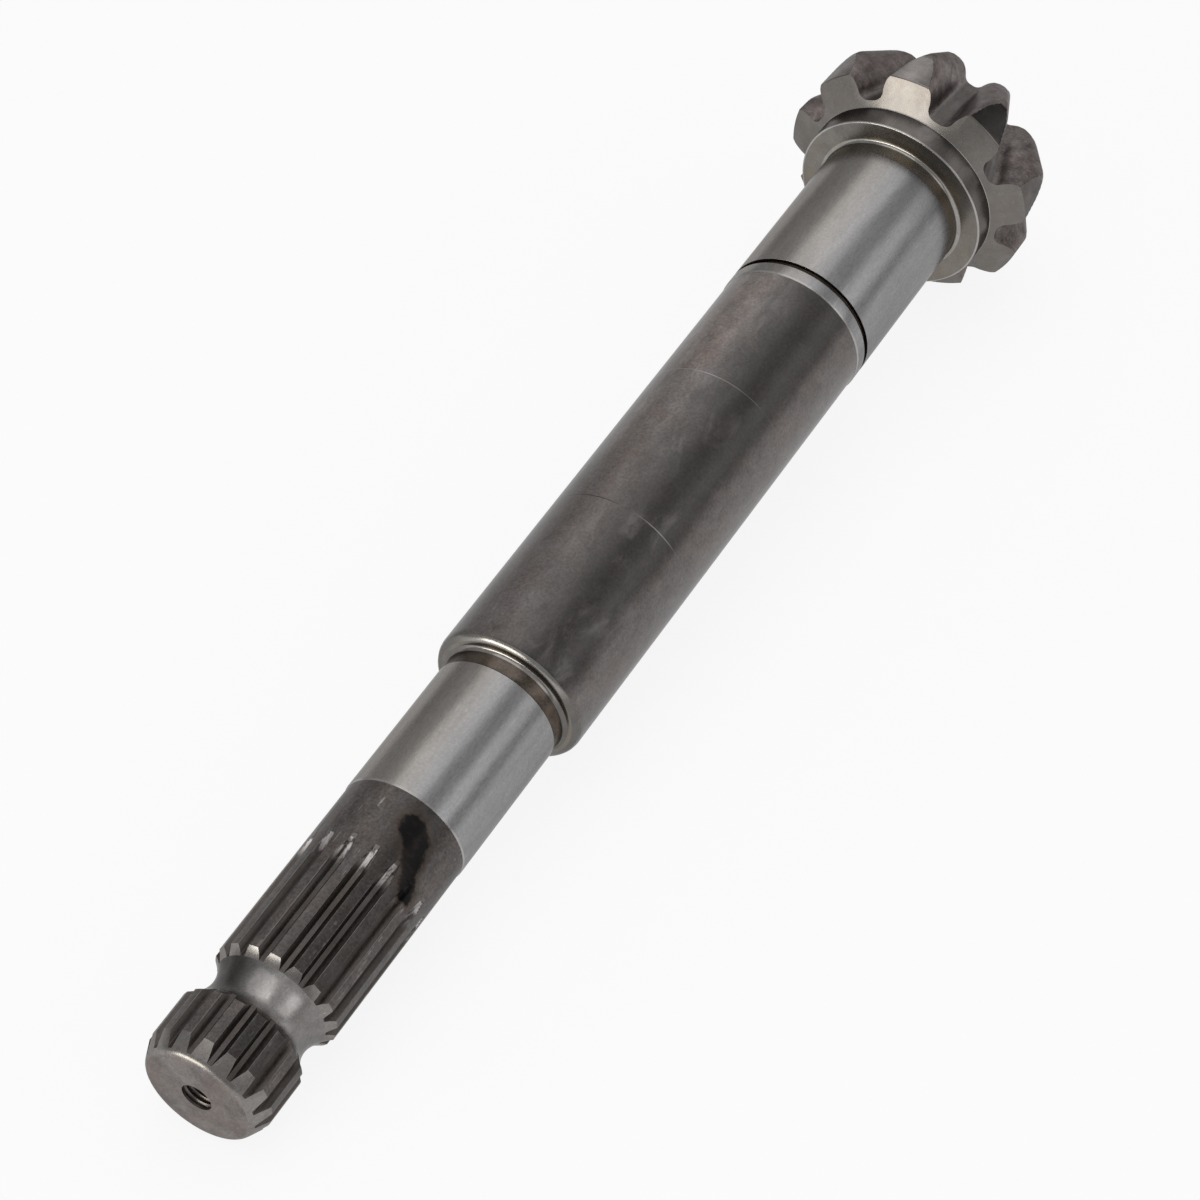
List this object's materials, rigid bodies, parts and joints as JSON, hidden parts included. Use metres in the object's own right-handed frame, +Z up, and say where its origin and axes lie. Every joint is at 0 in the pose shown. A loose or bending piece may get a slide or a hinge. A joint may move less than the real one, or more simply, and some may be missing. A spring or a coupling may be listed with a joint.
{
  "type": "bevel pinion shaft",
  "caption": "Steel shaft in one piece: straight bevel pinion with collar, two ground bearing seats, long barrel and a splined end with a lock groove.",
  "frame": {"origin": "middle of the bounding box, on the surface that the shaft lies on", "axes": "+X along the lying shaft towards the pinion, +Z up; the shaft's axis is tilted 3.1 degrees up towards the pinion, because it lies on the splined end and on two pinion teeth"},
  "size_m": [0.4042, 0.077, 0.077],
  "materials": {
    "shaft_steel": "ground, turned and forged steel, dark oxide on the barrel"
  },
  "bodies": {
    "root": {"pinion_shaft": "shaft_steel"}
  },
  "joints": []
}
